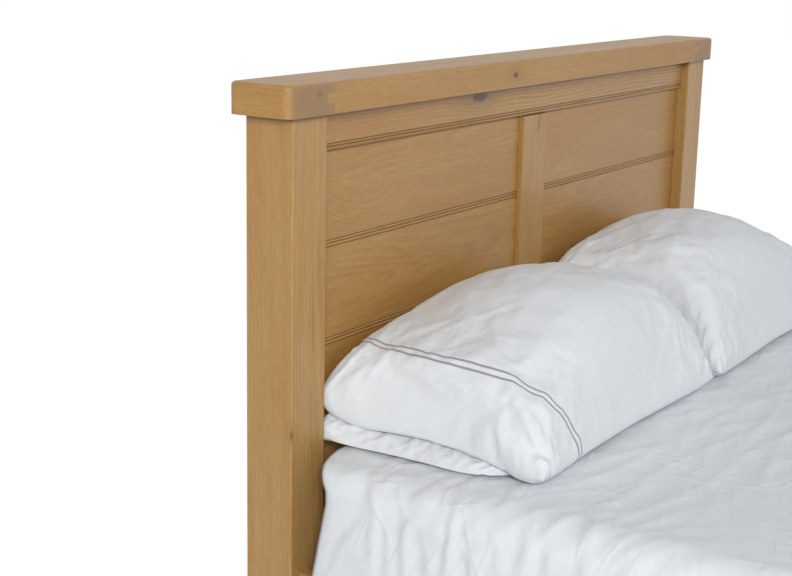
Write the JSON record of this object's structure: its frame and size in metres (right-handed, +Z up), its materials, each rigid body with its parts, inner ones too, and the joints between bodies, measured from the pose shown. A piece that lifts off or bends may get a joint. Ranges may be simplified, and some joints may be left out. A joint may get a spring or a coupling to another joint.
{
  "type": "panel bed",
  "caption": "Solid wood panel bed: thick-capped headboard and low footboard of beaded horizontal boards, side rails and slatted base, made up with mattress, duvet and stacked pillows.",
  "frame": {"origin": "on the floor, at the bottom centre of the whole bed's bounding box", "axes": "+X to the right seen from the foot, +Y along the bed towards the headboard, +Z up"},
  "size_m": [1.681, 2.271, 1.15],
  "materials": {
    "waxed_pine": "satin",
    "cap_block_pine": "satin",
    "base_pine": "matte",
    "beech_dowel": "matte",
    "zinc_plated_steel": "satin",
    "felt": "matte",
    "mattress_ticking": "matte",
    "duvet_cotton": "matte",
    "pillow_cotton": "matte"
  },
  "bodies": {
    "root": {"barrel_nuts": "zinc_plated_steel", "bed_bolts": "zinc_plated_steel", "bolt_plugs": "waxed_pine", "bracket_screws": "zinc_plated_steel", "cap_dowels": "beech_dowel", "centre_leg_foot": "base_pine", "centre_leg_head": "base_pine", "centre_rail": "base_pine", "centre_rail_brackets": "zinc_plated_steel", "duvet": "duvet_cotton", "floor_glides": "felt", "footboard_board_left_1": "waxed_pine", "footboard_board_right_1": "waxed_pine", "footboard_bottom_rail": "waxed_pine", "footboard_cap_block_left": "cap_block_pine", "footboard_cap_block_right": "cap_block_pine", "footboard_cap_rail": "waxed_pine", "footboard_muntin": "waxed_pine", "footboard_post_left": "waxed_pine", "footboard_post_right": "waxed_pine", "footboard_top_rail": "waxed_pine", "frame_screws": "zinc_plated_steel", "headboard_board_left_1": "waxed_pine", "headboard_board_left_2": "waxed_pine", "headboard_board_left_3": "waxed_pine", "headboard_board_left_4": "waxed_pine", "headboard_board_right_1": "waxed_pine", "headboard_board_right_2": "waxed_pine", "headboard_board_right_3": "waxed_pine", "headboard_board_right_4": "waxed_pine", "headboard_bottom_rail": "waxed_pine", "headboard_cap_block_left": "cap_block_pine", "headboard_cap_block_right": "cap_block_pine", "headboard_cap_rail": "waxed_pine", "headboard_muntin": "waxed_pine", "headboard_post_left": "waxed_pine", "headboard_post_right": "waxed_pine", "headboard_top_rail": "waxed_pine", "leg_hanger_bolts": "zinc_plated_steel", "mattress": "mattress_ticking", "pillow_lower_left": "pillow_cotton", "pillow_lower_right": "pillow_cotton", "pillow_upper_left": "pillow_cotton", "pillow_upper_right": "pillow_cotton", "side_rail_left": "waxed_pine", "side_rail_right": "waxed_pine", "slat_01": "base_pine", "slat_02": "base_pine", "slat_03": "base_pine", "slat_04": "base_pine", "slat_05": "base_pine", "slat_06": "base_pine", "slat_07": "base_pine", "slat_08": "base_pine", "slat_09": "base_pine", "slat_10": "base_pine", "slat_11": "base_pine", "slat_12": "base_pine", "slat_bearer_left": "base_pine", "slat_bearer_right": "base_pine"}
  },
  "joints": []
}
